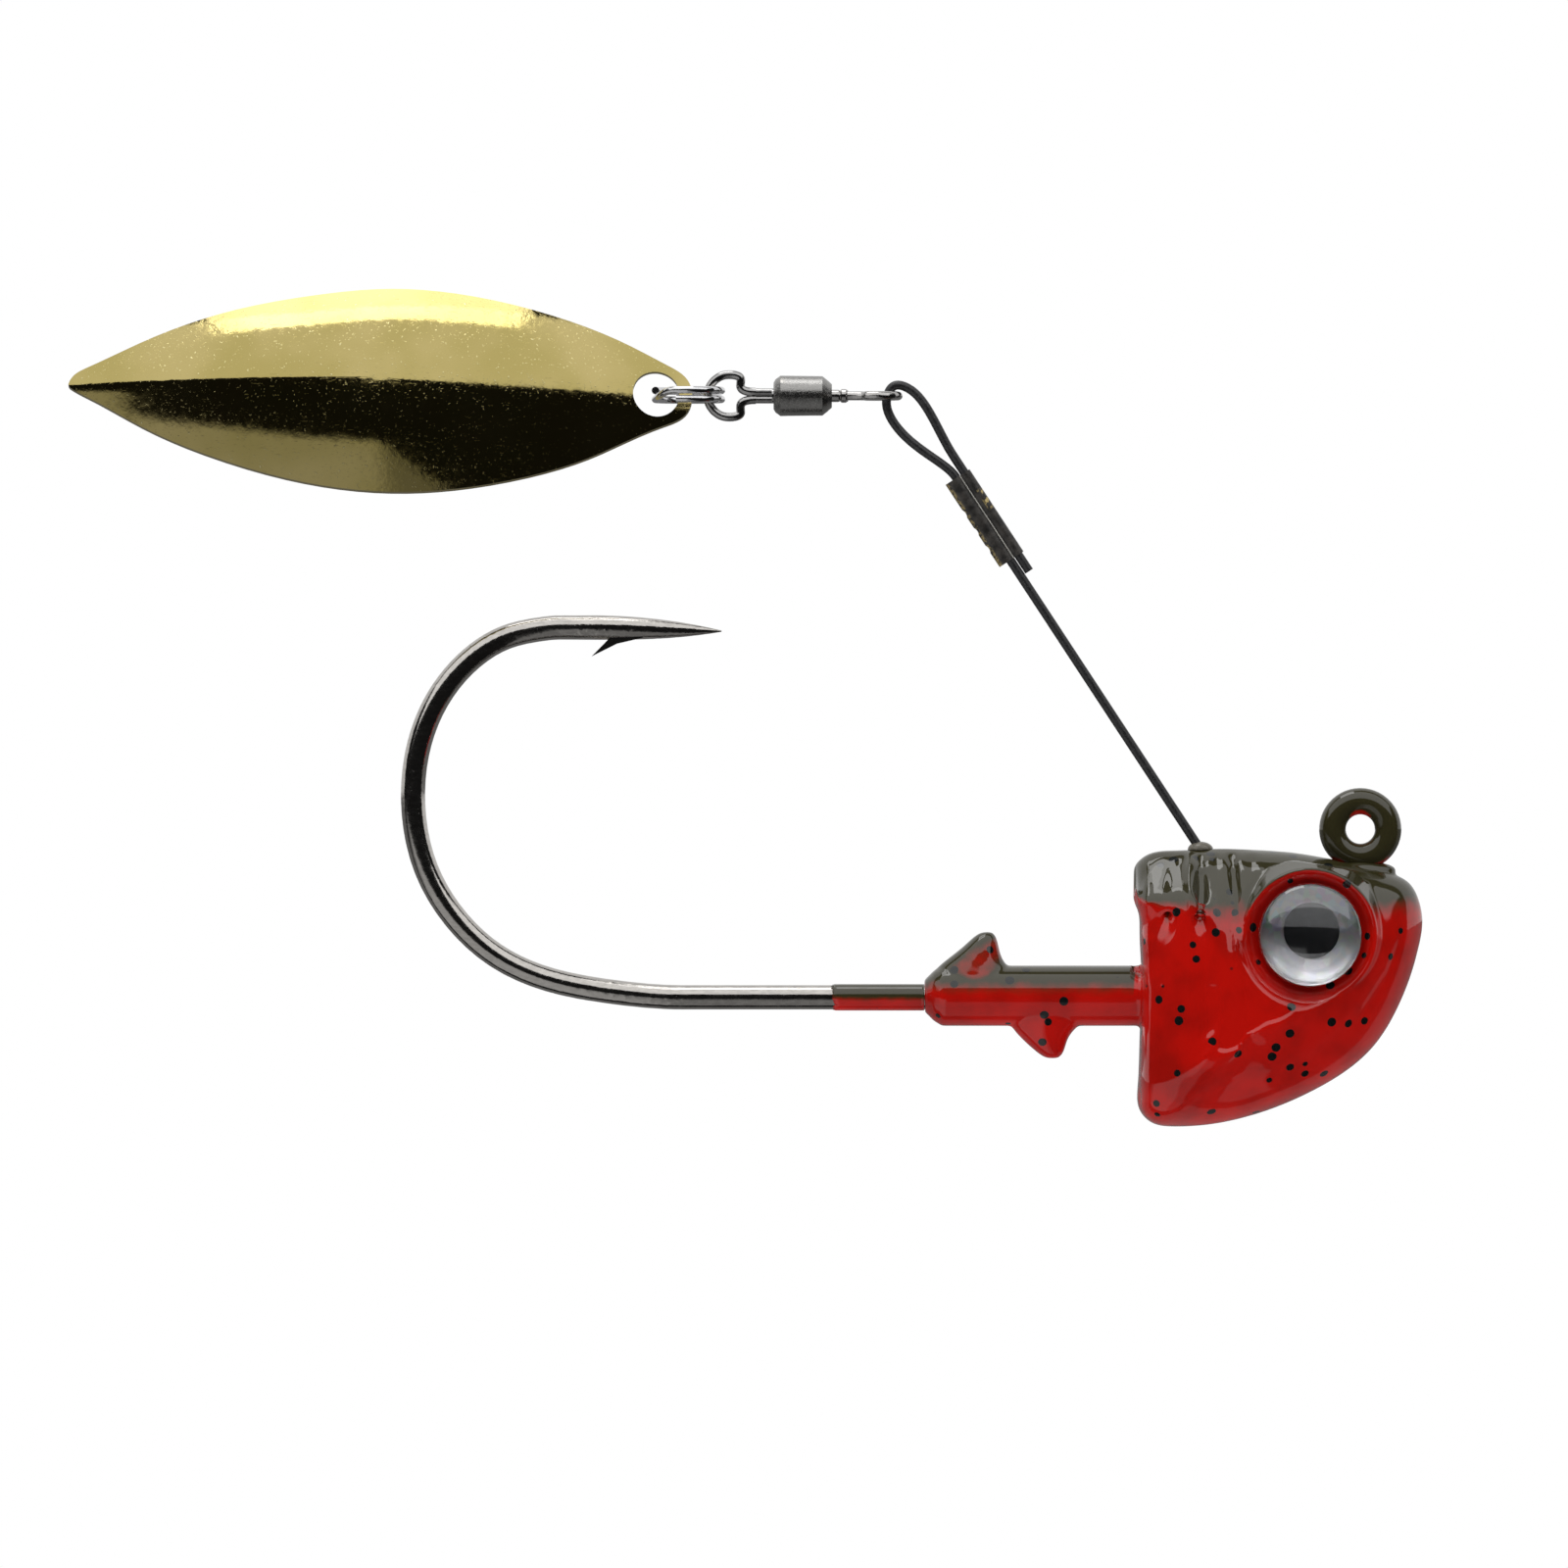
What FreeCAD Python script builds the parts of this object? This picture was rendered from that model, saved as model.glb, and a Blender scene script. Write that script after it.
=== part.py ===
"""Spinnerbait: lead head on a jig hook, stiff wire arm, ball swivel, split ring, willow blade.

Millimetres. +X points forward to the nose, +Y to the lure's left side, +Z up.
The origin is the middle of the line-tie ring. Every sub-part is one solid, saved as parts/NAME.step.
"""
import FreeCAD, Part
import math
import os

V = FreeCAD.Vector
X_AXIS = V(1, 0, 0)
Y_AXIS = V(0, 1, 0)
Z_AXIS = V(0, 0, 1)

# ---- hook: round steel wire, one end bent into the line-tie ring ----
HOOK_WIRE_R = 0.745
TIE_RING_R = 1.70
TIE_WIRE_R = 0.765
TIE_HOLE_R = 0.90
SHANK_Z = -10.3
LEG_TOP = (0.0, -1.7)
LEG_FOOT = (-1.9, -7.4)
ELBOW_END_X = -5.0
SHANK_END_X = -41.5
BEND_POINTS = [
    (-45.9, -9.95), (-49.7, -9.2), (-52.9, -7.75), (-55.45, -5.4), (-57.2, -2.4),
    (-57.95, 1.0), (-57.75, 4.6), (-56.4, 8.1), (-53.7, 11.0), (-51.85, 11.9), (-49.9, 12.28),
]
POINT_START = (-48.0, 12.34)
POINT_SHOULDER = (-43.8, 12.28)
POINT_TIP = (-39.1, 12.12)
SHOULDER_R = 0.66
TIP_R = 0.04
BARB_OUTLINE = [(-44.3, 12.1), (-43.9, 11.72), (-45.5, 11.35), (-47.05, 10.58), (-45.9, 11.75)]
BARB_THICKNESS = 0.9

# ---- paint film on the hook, outside the head ----
TIE_COAT_RING_R = 1.68
TIE_COAT_R = 0.84
SHANK_COAT_R = 0.81
SHANK_COAT_END_X = -32.5

# ---- head: side outline, clockwise from the top back corner ----
HEAD_OUTLINE = [
    (-13.7, -2.1), (-12.9, -1.5), (-11.2, -1.3), (-9.0, -1.2), (-6.4, -1.27), (-4.0, -1.45),
    (-1.9, -1.8), (0.2, -2.2), (1.9, -2.7), (3.0, -3.3), (3.6, -4.4), (3.8, -5.6),
    (3.6, -7.1), (3.0, -9.2), (2.1, -11.3), (0.8, -13.3), (-0.8, -14.75), (-2.5, -15.8),
    (-4.6, -16.8), (-7.1, -17.65), (-9.4, -18.1), (-11.5, -18.2), (-12.8, -17.95), (-13.5, -17.2),
    (-13.6, -15.6), (-13.5, -13.0), (-13.4, -10.5), (-13.4, -8.0), (-13.5, -5.5), (-13.65, -3.6),
]
HEAD_CENTRE = (-5.2, -10.6)
HEAD_HALF_WIDTH = 4.9
HEAD_FULLNESS = 2.05
HEAD_BACK_FULLNESS = 4.5
GILL_GROOVES_X = (-11.7, -9.8, -7.95)
GILL_GROOVE_R = 0.42
GILL_GROOVE_DEPTH = 0.16

# ---- bait keeper: round stem behind the head with two thorns ----
KEEPER_Z = -10.2
KEEPER_R = 1.85
KEEPER_ROOT_X = -11.0
KEEPER_SHOULDER_X = -25.6
KEEPER_END_X = -26.7
UPPER_THORN = [  # height, rear x, front x, half thickness
    (-9.9, -26.5, -20.9, 1.55), (-8.5, -25.9, -21.5, 1.35), (-7.7, -24.95, -22.0, 1.15),
    (-6.9, -24.0, -22.2, 0.85), (-6.45, -23.45, -22.4, 0.5), (-6.3, -23.05, -22.6, 0.22),
]
LOWER_THORN = [
    (-10.6, -22.6, -16.4, 1.55), (-12.0, -21.4, -17.2, 1.35), (-12.75, -20.8, -17.85, 1.15),
    (-13.45, -20.05, -18.1, 0.85), (-13.9, -19.45, -18.35, 0.5), (-14.03, -19.1, -18.6, 0.22),
]

# ---- moulded three-dimensional eyes ----
EYE_X = -3.17
EYE_Z = -6.45
SOCKET_R = 3.2
SOCKET_RIM_R = 3.75
SOCKET_FLOOR_Y = 3.75
EYE_R = 3.15
PAD_THICKNESS = 0.30
FOIL_THICKNESS = 0.12
PUPIL_R = 1.6
PUPIL_RISE = 0.45
PUPIL_THICKNESS = 0.06
LIP_THICKNESS = 0.40
DOME_R = 2.7
DOME_HEIGHT = 1.05

# ---- wire arm, its jacket, crimp sleeve and loop ----
ARM_ROOT_Z = -3.4
SLEEVE_BOTTOM = (-21.32, 16.53)
SLEEVE_TOP = (-24.63, 21.57)
MAIN_OFFSET = -0.12
TAG_OFFSET = 0.47
TAG_LENGTH = 1.2
JACKET_R = 0.28
CORE_R = 0.17
LOOP_POINTS = [
    (-25.55, 22.3), (-26.9, 23.25), (-28.1, 24.3), (-28.8, 25.3), (-29.0, 26.3),
    (-28.5, 27.15), (-27.7, 27.0), (-26.9, 26.3), (-26.25, 25.3), (-25.3, 23.5),
]
CRIMPED_HALF_WIDTH = 0.54
CRIMPED_HALF_DEPTH = 0.42
CRIMPED_OFFSET = -0.37
ROUND_BARREL_R = 0.38
CRIMP_STEPS = (1.3, 2.6, 3.9)
BEAD_R = 0.78

# ---- ball swivel ----
SWIVEL_Z = 26.52
EYE_WIRE_R = 0.27
FRONT_EYE_X = -29.56
FRONT_EYE_R = 1.27
FRONT_NECK_R = 0.38
FRONT_NECK_END_X = -31.4
REAR_EYE_X = -38.65
REAR_EYE_R = 1.30
REAR_LEG_GAP = 0.23
REAR_LEG_R = 0.235
REAR_LEGS_X = -37.0
REAR_NECK_R = 0.46
BARREL_R = 1.24
BARREL_REAR_X = -35.92
BARREL_FRONT_X = -32.35
BARREL_WALL = 0.34
RUNNING_GAP = 0.05
INNER_HEAD_R = 0.80
INNER_HEAD_LENGTH = 0.65

# ---- split ring ----
SPLIT_CENTRE_X = -41.13
SPLIT_R = 2.02
SPLIT_WIRE_R = 0.23
SPLIT_TURN_GAP = 0.54
SPLIT_CROSSING_DEG = 215

# ---- willow-leaf blade ----
BLADE_TIP = (-79.1, 27.35)
BLADE_HEEL = (-40.9, 26.6)
BLADE_TOP = [
    (-78.85, 27.8), (-77.9, 28.4), (-74.5, 30.05), (-69.5, 31.9), (-64.0, 33.0), (-59.3, 33.4),
    (-54.5, 32.95), (-49.5, 31.7), (-45.0, 29.9), (-42.4, 28.5), (-41.2, 27.6),
]
BLADE_BOTTOM = [
    (-41.2, 25.5), (-42.8, 24.6), (-47.0, 22.7), (-52.0, 21.2), (-58.9, 20.45), (-64.0, 20.95),
    (-70.0, 22.6), (-74.6, 24.6), (-77.7, 26.35), (-78.8, 26.95),
]
BLADE_HOLE = (-43.1, 26.58)
BLADE_HOLE_R = 1.42
BLADE_THICKNESS = 0.45
BLADE_MIDDLE = (-60.0, 27.1)
BLADE_DOME = 2.3
BLADE_RIM_Y = 0.15
BLADE_RINGS = (1.0, 0.86, 0.72, 0.58, 0.44, 0.30, 0.18, 0.09, 0.03)
BLADE_ROLL_DEG = -15.0


def at(point, y=0.0):
    """Place an (x, z) pair in the row's space."""
    return V(point[0], y, point[1])


def disc_wire(centre, direction, radius):
    return Part.Wire(Part.makeCircle(radius, centre, direction))


def pipe(edges, radius):
    """Round wire of one radius along a chain of edges."""
    path = Part.Wire(edges)
    first = edges[0]
    start = first.valueAt(first.FirstParameter)
    heading = first.tangentAt(first.FirstParameter)
    solid = path.makePipeShell([disc_wire(start, heading, radius)], True, False)
    return Part.Solid(solid) if solid.ShapeType != "Solid" else solid


def smooth_edge(points, start_heading=None, end_heading=None):
    """One smooth curve through all the points, with chosen end directions if given."""
    curve = Part.BSplineCurve()
    if start_heading is None:
        curve.interpolate(points)
    else:
        curve.interpolate(Points=points, InitialTangent=start_heading, FinalTangent=end_heading)
    return curve.toShape()


def turned(profile, z):
    """Solid of revolution about the line along X at height z; profile is (x, radius) pairs."""
    points = [V(x, 0, z + r) for x, r in profile]
    face = Part.Face(Part.makePolygon(points + points[:1]))
    return face.revolve(V(0, 0, z), X_AXIS, 360)


def round_along_y(x, z, radius, y_from, y_to):
    return Part.makeCylinder(radius, y_to - y_from, V(x, y_from, z), Y_AXIS)


def mirrored(shape):
    return shape.mirror(V(0, 0, 0), Y_AXIS)


# ------------------------------------------------------------------ hook

def leg_edges(end_x):
    """Centre line from the ring down through the head and back along the shank."""
    top = at(LEG_TOP)
    foot = at(LEG_FOOT)
    heading = (foot - top).normalize()
    corner = foot + heading * ((SHANK_Z - foot.z) / heading.z)
    elbow_end = corner - X_AXIS * (corner - foot).Length
    curve = Part.BezierCurve()
    curve.setPoles([foot, corner, elbow_end])
    shank = Part.makeLine(elbow_end, V(end_x, 0, SHANK_Z))
    return [Part.makeLine(top, foot), curve.toShape(), shank]


def tie_ring():
    return Part.makeTorus(TIE_RING_R, TIE_WIRE_R, V(0, 0, 0), Y_AXIS)


def tie_coat_ring():
    return Part.makeTorus(TIE_COAT_RING_R, TIE_COAT_R, V(0, 0, 0), Y_AXIS)


def hook_bend_edge():
    points = [V(SHANK_END_X, 0, SHANK_Z)] + [at(p) for p in BEND_POINTS] + [at(POINT_START)]
    return smooth_edge(points, V(-1, 0, 0), (at(POINT_SHOULDER) - at(POINT_START)).normalize())


def hook_point():
    """Tapered spear from the end of the bend to the tip."""
    start, shoulder, tip = at(POINT_START), at(POINT_SHOULDER), at(POINT_TIP)
    heading = (shoulder - start).normalize()
    final = (tip - shoulder).normalize()
    middle = shoulder + final * 2.4
    rings = [
        disc_wire(start, heading, HOOK_WIRE_R),
        disc_wire(shoulder, heading, SHOULDER_R),
        disc_wire(middle, final, 0.43),
        disc_wire(tip, final, TIP_R),
    ]
    return Part.makeLoft(rings, True, False)


def hook_barb():
    """Thin spur cut up from the spear, leaning back."""
    corners = [at(p, -BARB_THICKNESS / 2) for p in BARB_OUTLINE]
    face = Part.Face(Part.makePolygon(corners + corners[:1]))
    return face.extrude(Y_AXIS * BARB_THICKNESS)


def make_hook():
    shank = pipe(leg_edges(SHANK_END_X), HOOK_WIRE_R)
    bend = pipe([hook_bend_edge()], HOOK_WIRE_R)
    body = tie_ring().fuse([shank, bend, hook_point(), hook_barb()])
    return body.removeSplitter()


def hook_in_head():
    """The stretch of hook wire the casting is moulded round."""
    return pipe(leg_edges(KEEPER_END_X - 3.0), HOOK_WIRE_R)


# ------------------------------------------------------------------ head

def fullness(x):
    """How boxy the section is: elliptical along the cheeks, square at the back."""
    back = max(0.0, min(1.0, (-x - 10.5) / 3.0))
    return HEAD_FULLNESS + (HEAD_BACK_FULLNESS - HEAD_FULLNESS) * back


def head_section(turn):
    """Closed contour of the head, turned from one cheek (near 0 deg) over its edge to the other."""
    points = []
    lean = math.radians(turn)
    mid_x, mid_z = HEAD_CENTRE
    for x, z in HEAD_OUTLINE:
        power = 2.0 / fullness(x)
        reach = math.sin(lean) ** power
        width = abs(math.cos(lean)) ** power if turn != 90 else 0.0
        side = -1.0 if turn < 90 else 1.0
        level = side * HEAD_HALF_WIDTH * width
        points.append(V(mid_x + (x - mid_x) * reach, level, mid_z + (z - mid_z) * reach))
    if turn in (8, 172):
        level = (-1.0 if turn < 90 else 1.0) * HEAD_HALF_WIDTH * 0.985
        points = [V(p.x, level, p.z) for p in points]
    curve = Part.BSplineCurve()
    curve.interpolate(Points=points, PeriodicFlag=True)
    return Part.Wire(curve.toShape())


def head_block():
    turns = [8, 20, 32, 44, 56, 68, 79, 90, 101, 112, 124, 136, 148, 160, 172]
    return Part.makeLoft([head_section(t) for t in turns], True, False)


def thorn(levels):
    """Barb of the keeper, lofted through ovals that shrink towards its tip."""
    rings = []
    for z, rear, front, half in levels:
        long_half = (front - rear) / 2
        wide, narrow = max(long_half, half + 0.001), min(long_half, half)
        ellipse = Part.Ellipse(V((front + rear) / 2, 0, z), wide, narrow)
        if long_half < half:
            ellipse.rotate(FreeCAD.Placement(V(), Z_AXIS, 90))
        rings.append(Part.Wire(ellipse.toShape()))
    return Part.makeLoft(rings, True, False)


def keeper():
    profile = [
        (KEEPER_ROOT_X, 0.0), (KEEPER_ROOT_X, KEEPER_R), (KEEPER_SHOULDER_X, KEEPER_R),
        (KEEPER_SHOULDER_X - 0.5, KEEPER_R - 0.3), (KEEPER_END_X, 0.95), (KEEPER_END_X, 0.0),
    ]
    stem = turned(profile, KEEPER_Z)
    return stem.fuse([thorn(UPPER_THORN), thorn(LOWER_THORN)])


def eye_socket():
    """Round pocket for the eye, opening in a shallow cone."""
    floor = round_along_y(EYE_X, EYE_Z, SOCKET_R, SOCKET_FLOOR_Y, 7.0)
    start = V(EYE_X, SOCKET_FLOOR_Y - 0.05, EYE_Z)
    bowl = Part.makeCone(SOCKET_R, SOCKET_RIM_R + 1.1, 1.4, start, Y_AXIS)
    return floor.fuse(bowl)


def eye_mound():
    """Raised ring of metal that carries the socket out to the eye's level."""
    ring = Part.makeCone(4.75, 4.05, 1.9, V(EYE_X, 2.4, EYE_Z), Y_AXIS)
    return ring.common(head_prism())


def head_prism():
    """The head's side outline drawn in by five percent and pushed straight through."""
    mid_x, mid_z = HEAD_CENTRE
    points = [V(x + (mid_x - x) * 0.05, -8, z + (mid_z - z) * 0.05) for x, z in HEAD_OUTLINE]
    curve = Part.BSplineCurve()
    curve.interpolate(Points=points, PeriodicFlag=True)
    return Part.Face(Part.Wire(curve.toShape())).extrude(Y_AXIS * 16)


def gill_grooves():
    """Fine grooves down the cheek behind the eye."""
    tools = []
    for x in GILL_GROOVES_X:
        points = []
        for z in (-2.2, -3.5, -5.0, -6.5, -8.0):
            rise = (z - HEAD_CENTRE[1]) / 9.2
            cheek = HEAD_HALF_WIDTH * math.sqrt(1 - rise * rise)
            lift = GILL_GROOVE_R - GILL_GROOVE_DEPTH * (1 - (-z - 2.2) / 7.0)
            points.append(V(x + 0.06 * (z + 2.2), cheek + lift, z))
        tools.append(pipe([smooth_edge(points)], GILL_GROOVE_R))
    return tools


def make_head():
    cheek_cuts = [eye_socket()] + gill_grooves()
    cuts = cheek_cuts + [mirrored(cut) for cut in cheek_cuts]
    cuts += [hook_in_head(), pipe(arm_edges(), JACKET_R), tie_coat_ring()]
    return head_block().fuse([keeper(), eye_mound(), mirrored(eye_mound())]).cut(cuts)


def make_tie_coat():
    """Paint film round the line-tie ring."""
    hole = round_along_y(0, 0, TIE_HOLE_R, -2, 2)
    return tie_coat_ring().cut([hole, tie_ring(), hook_in_head()])


def make_shank_coat():
    """Sleeve of paint on the shank, just behind the keeper."""
    length = KEEPER_END_X - SHANK_COAT_END_X
    tube = Part.makeCylinder(SHANK_COAT_R, length, V(SHANK_COAT_END_X, 0, SHANK_Z), X_AXIS)
    shank = Part.makeCylinder(HOOK_WIRE_R, length + 2, V(SHANK_COAT_END_X - 1, 0, SHANK_Z), X_AXIS)
    return tube.cut(shank)


# ------------------------------------------------------------------ eyes

def make_eye():
    """Pad, foil, pupil and clear dome of the left eye, stacked outwards from the socket floor."""
    y = SOCKET_FLOOR_Y
    pad = round_along_y(EYE_X, EYE_Z, EYE_R, y, y + PAD_THICKNESS)
    y += PAD_THICKNESS
    foil = round_along_y(EYE_X, EYE_Z, EYE_R, y, y + FOIL_THICKNESS)
    y += FOIL_THICKNESS
    pupil = round_along_y(EYE_X + 0.05, EYE_Z + 0.25, PUPIL_R, y, y + PUPIL_THICKNESS)
    lip = round_along_y(EYE_X, EYE_Z, EYE_R, y, y + LIP_THICKNESS)
    y += LIP_THICKNESS
    ball_r = (DOME_R ** 2 + DOME_HEIGHT ** 2) / (2 * DOME_HEIGHT)
    ball = Part.makeSphere(ball_r, V(EYE_X, y + DOME_HEIGHT - ball_r, EYE_Z))
    above = round_along_y(EYE_X, EYE_Z, EYE_R, y - 0.1, y + DOME_HEIGHT + 1)
    dome = lip.fuse(ball.common(above)).cut(pupil).removeSplitter()
    return {"eye_pad": pad, "eye_foil": foil, "eye_pupil": pupil, "eye_dome": dome}


# ------------------------------------------------------------------ wire arm

def sleeve_heading():
    return (at(SLEEVE_TOP) - at(SLEEVE_BOTTOM)).normalize()


def sleeve_side():
    """Unit vector square to the sleeve, pointing forward and up in the lure's mid plane."""
    along = sleeve_heading()
    return V(along.z, 0, -along.x)


def arm_edges():
    """Centre line of the arm: head, first barrel, loop, second barrel and tag end."""
    along = sleeve_heading()
    side = sleeve_side()
    top = at(SLEEVE_TOP) + side * MAIN_OFFSET
    root = top + along * ((ARM_ROOT_Z - top.z) / along.z)
    back = at(SLEEVE_TOP) + side * TAG_OFFSET
    tag = at(SLEEVE_BOTTOM) + side * TAG_OFFSET - along * TAG_LENGTH
    loop = smooth_edge([top] + [at(p) for p in LOOP_POINTS] + [back], along, along * -1)
    return [Part.makeLine(root, top), loop, Part.makeLine(back, tag)]


def make_arm():
    """Bare steel core and the jacket round it."""
    core = pipe(arm_edges(), CORE_R)
    jacket = pipe(arm_edges(), JACKET_R).cut(core)
    return core, jacket


def make_sleeve():
    """Double-barrel crimp: one barrel squeezed oval, the other left round."""
    along = sleeve_heading()
    side = sleeve_side()
    start = at(SLEEVE_BOTTOM)
    length = (at(SLEEVE_TOP) - start).Length
    oval = Part.Ellipse(V(0, 0, 0), CRIMPED_HALF_WIDTH, CRIMPED_HALF_DEPTH)
    face = Part.Face(Part.Wire(oval.toShape()))
    turn = FreeCAD.Rotation(side, Y_AXIS, along, "ZXY")
    face.Placement = FreeCAD.Placement(start + side * CRIMPED_OFFSET, turn)
    squeezed = face.extrude(along * length)
    for step in CRIMP_STEPS:
        spot = start + along * step + side * (CRIMPED_OFFSET - CRIMPED_HALF_WIDTH - 0.42)
        squeezed = squeezed.cut(Part.makeCylinder(0.5, 4, spot - Y_AXIS * 2, Y_AXIS))
    plain = Part.makeCylinder(ROUND_BARREL_R, length, start + side * TAG_OFFSET, along)
    bores = []
    for offset in (MAIN_OFFSET, TAG_OFFSET):
        bores.append(Part.makeCylinder(JACKET_R, length + 2, start + side * offset - along, along))
    return squeezed.fuse(plain).cut(bores).removeSplitter()


def make_root_bead(head, jacket_pipe):
    """Flattened bead of paint where the arm leaves the head."""
    along = sleeve_heading()
    top = at(SLEEVE_TOP) + sleeve_side() * MAIN_OFFSET
    foot = top + along * ((-1.25 - top.z) / along.z)
    bead = Part.makeSphere(BEAD_R, foot)
    squash = FreeCAD.Matrix()
    squash.scale(V(1.0, 0.85, 0.62))
    bead.translate(foot * -1)
    bead = bead.transformGeometry(squash)
    bead.translate(foot)
    return bead.cut([head, jacket_pipe])


# ------------------------------------------------------------------ swivel

def eye_wire(centre_x, ring_r, neck_x, half_gap, plane):
    """Round wire eye whose two ends close in to legs along X, built as two mirrored halves."""
    toward = 1.0 if neck_x > centre_x else -1.0
    across = Z_AXIS if plane == "XZ" else Y_AXIS
    halves = []
    for side in (1, -1):
        points = []
        for degrees in (180, 150, 120, 90, 58):
            a = math.radians(degrees)
            reach = V(centre_x + toward * ring_r * math.cos(a), 0, SWIVEL_Z)
            points.append(reach + across * (side * ring_r * math.sin(a)))
        points.append(V(neck_x, 0, SWIVEL_Z) + across * (side * half_gap))
        halves.append(pipe([smooth_edge(points, across * side, X_AXIS * toward)], EYE_WIRE_R))
    return halves[0].fuse(halves[1])


def make_front_eye():
    """Eye on the arm's loop, its neck and the button that is caught inside the barrel."""
    wire = eye_wire(FRONT_EYE_X, FRONT_EYE_R, FRONT_NECK_END_X, 0.12, "XY")
    inner_x = BARREL_FRONT_X - BARREL_WALL - 0.3
    collar_x = FRONT_NECK_END_X
    button_x = inner_x - RUNNING_GAP
    profile = [
        (collar_x + 0.05, 0.0), (collar_x + 0.05, 0.33), (collar_x - 0.1, 0.42),
        (collar_x - 0.35, 0.42), (collar_x - 0.45, 0.33), (collar_x - 0.55, FRONT_NECK_R),
        (button_x, FRONT_NECK_R), (button_x, INNER_HEAD_R),
        (button_x - INNER_HEAD_LENGTH, INNER_HEAD_R - 0.15),
        (button_x - INNER_HEAD_LENGTH, 0.0),
    ]
    return wire.fuse(turned(profile, SWIVEL_Z)).removeSplitter()


def make_rear_eye():
    """Eye that carries the split ring, its twin legs and its button inside the barrel."""
    wire = eye_wire(REAR_EYE_X, REAR_EYE_R, REAR_LEGS_X, REAR_LEG_GAP, "XZ")
    inner_x = BARREL_REAR_X + BARREL_WALL
    legs = []
    for side in (-1, 1):
        start = V(REAR_LEGS_X - 0.3, 0, SWIVEL_Z + side * REAR_LEG_GAP)
        legs.append(Part.makeCylinder(REAR_LEG_R, BARREL_REAR_X - 0.1 - start.x + 0.2, start, X_AXIS))
    button_x = inner_x + RUNNING_GAP
    profile = [
        (BARREL_REAR_X - 0.1, 0.0), (BARREL_REAR_X - 0.1, REAR_NECK_R), (button_x, REAR_NECK_R),
        (button_x, INNER_HEAD_R), (button_x + INNER_HEAD_LENGTH, INNER_HEAD_R - 0.15),
        (button_x + INNER_HEAD_LENGTH, 0.0),
    ]
    return wire.fuse(legs + [turned(profile, SWIVEL_Z)]).removeSplitter()


def make_barrel():
    """Hollow barrel, closed in over the buttons of both eyes."""
    rear, front = BARREL_REAR_X, BARREL_FRONT_X
    cavity_r = INNER_HEAD_R + RUNNING_GAP
    outer = [
        (rear, REAR_NECK_R + RUNNING_GAP), (rear, 0.82), (rear + 0.12, 1.02), (rear + 0.42, BARREL_R),
        (front - 0.58, BARREL_R - 0.03), (front - 0.30, BARREL_R - 0.25), (front, 0.72),
        (front, FRONT_NECK_R + RUNNING_GAP),
    ]
    inner = [
        (front - BARREL_WALL - 0.3, FRONT_NECK_R + RUNNING_GAP), (front - BARREL_WALL - 0.3, cavity_r),
        (rear + BARREL_WALL, cavity_r), (rear + BARREL_WALL, REAR_NECK_R + RUNNING_GAP),
    ]
    return turned(outer + inner, SWIVEL_Z)


# ------------------------------------------------------------------ split ring and blade

def make_split_ring():
    """Two close flat turns of spring wire joined by one sloping crossing."""
    points = []
    for step in range(0, 66):
        turned_by = 35 + 10 * step
        rise = max(0.0, min(1.0, (turned_by - 330) / 60.0))
        rise = rise * rise * (3 - 2 * rise)
        a = math.radians(turned_by + SPLIT_CROSSING_DEG)
        height = BLADE_HOLE[1] + SPLIT_TURN_GAP * (rise - 0.5)
        points.append(V(SPLIT_CENTRE_X + SPLIT_R * math.cos(a), SPLIT_R * math.sin(a), height))
    return pipe([smooth_edge(points)], SPLIT_WIRE_R)


def blade_contour(share, lift):
    """The blade's outline shrunk towards its middle and raised with the dome."""
    mid_x, mid_z = BLADE_MIDDLE
    level = lift - BLADE_DOME * (1 - share * share)
    curve = Part.BSplineCurve()
    points = []
    for x, z in [BLADE_TIP] + BLADE_TOP + [BLADE_HEEL] + BLADE_BOTTOM:
        points.append(V(mid_x + (x - mid_x) * share, level, mid_z + (z - mid_z) * share))
    curve.interpolate(Points=points, PeriodicFlag=True)
    return Part.Wire(curve.toShape())


def blade_skin(lift):
    """Domed face of the blade: nested outlines, with a tiny flat at the crown."""
    rings = [blade_contour(share, lift) for share in BLADE_RINGS]
    dome = Part.makeLoft(rings, False, False)
    return dome.Faces + [Part.Face(rings[-1])]


def make_blade():
    """Stamped leaf with a flat rim line and a dome of even thickness, rolled a little on its ring."""
    lift = BLADE_RIM_Y
    edge = blade_contour(1.0, lift).extrude(Y_AXIS * BLADE_THICKNESS)
    faces = blade_skin(lift) + edge.Faces + blade_skin(lift + BLADE_THICKNESS)
    shell = Part.makeShell(faces)
    shell.sewShape()
    blank = Part.makeSolid(shell.Shells[0])
    if blank.Volume < 0:
        blank.reverse()
    blade = blank.cut(round_along_y(BLADE_HOLE[0], BLADE_HOLE[1], BLADE_HOLE_R, -6, 6))
    blade.rotate(at(BLADE_HOLE), X_AXIS, BLADE_ROLL_DEG)
    return blade


# ------------------------------------------------------------------ output

def single_solid(shape):
    """The largest solid of a result, without any sliver left by a cut."""
    return sorted(shape.Solids, key=lambda solid: solid.Volume)[-1]


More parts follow.
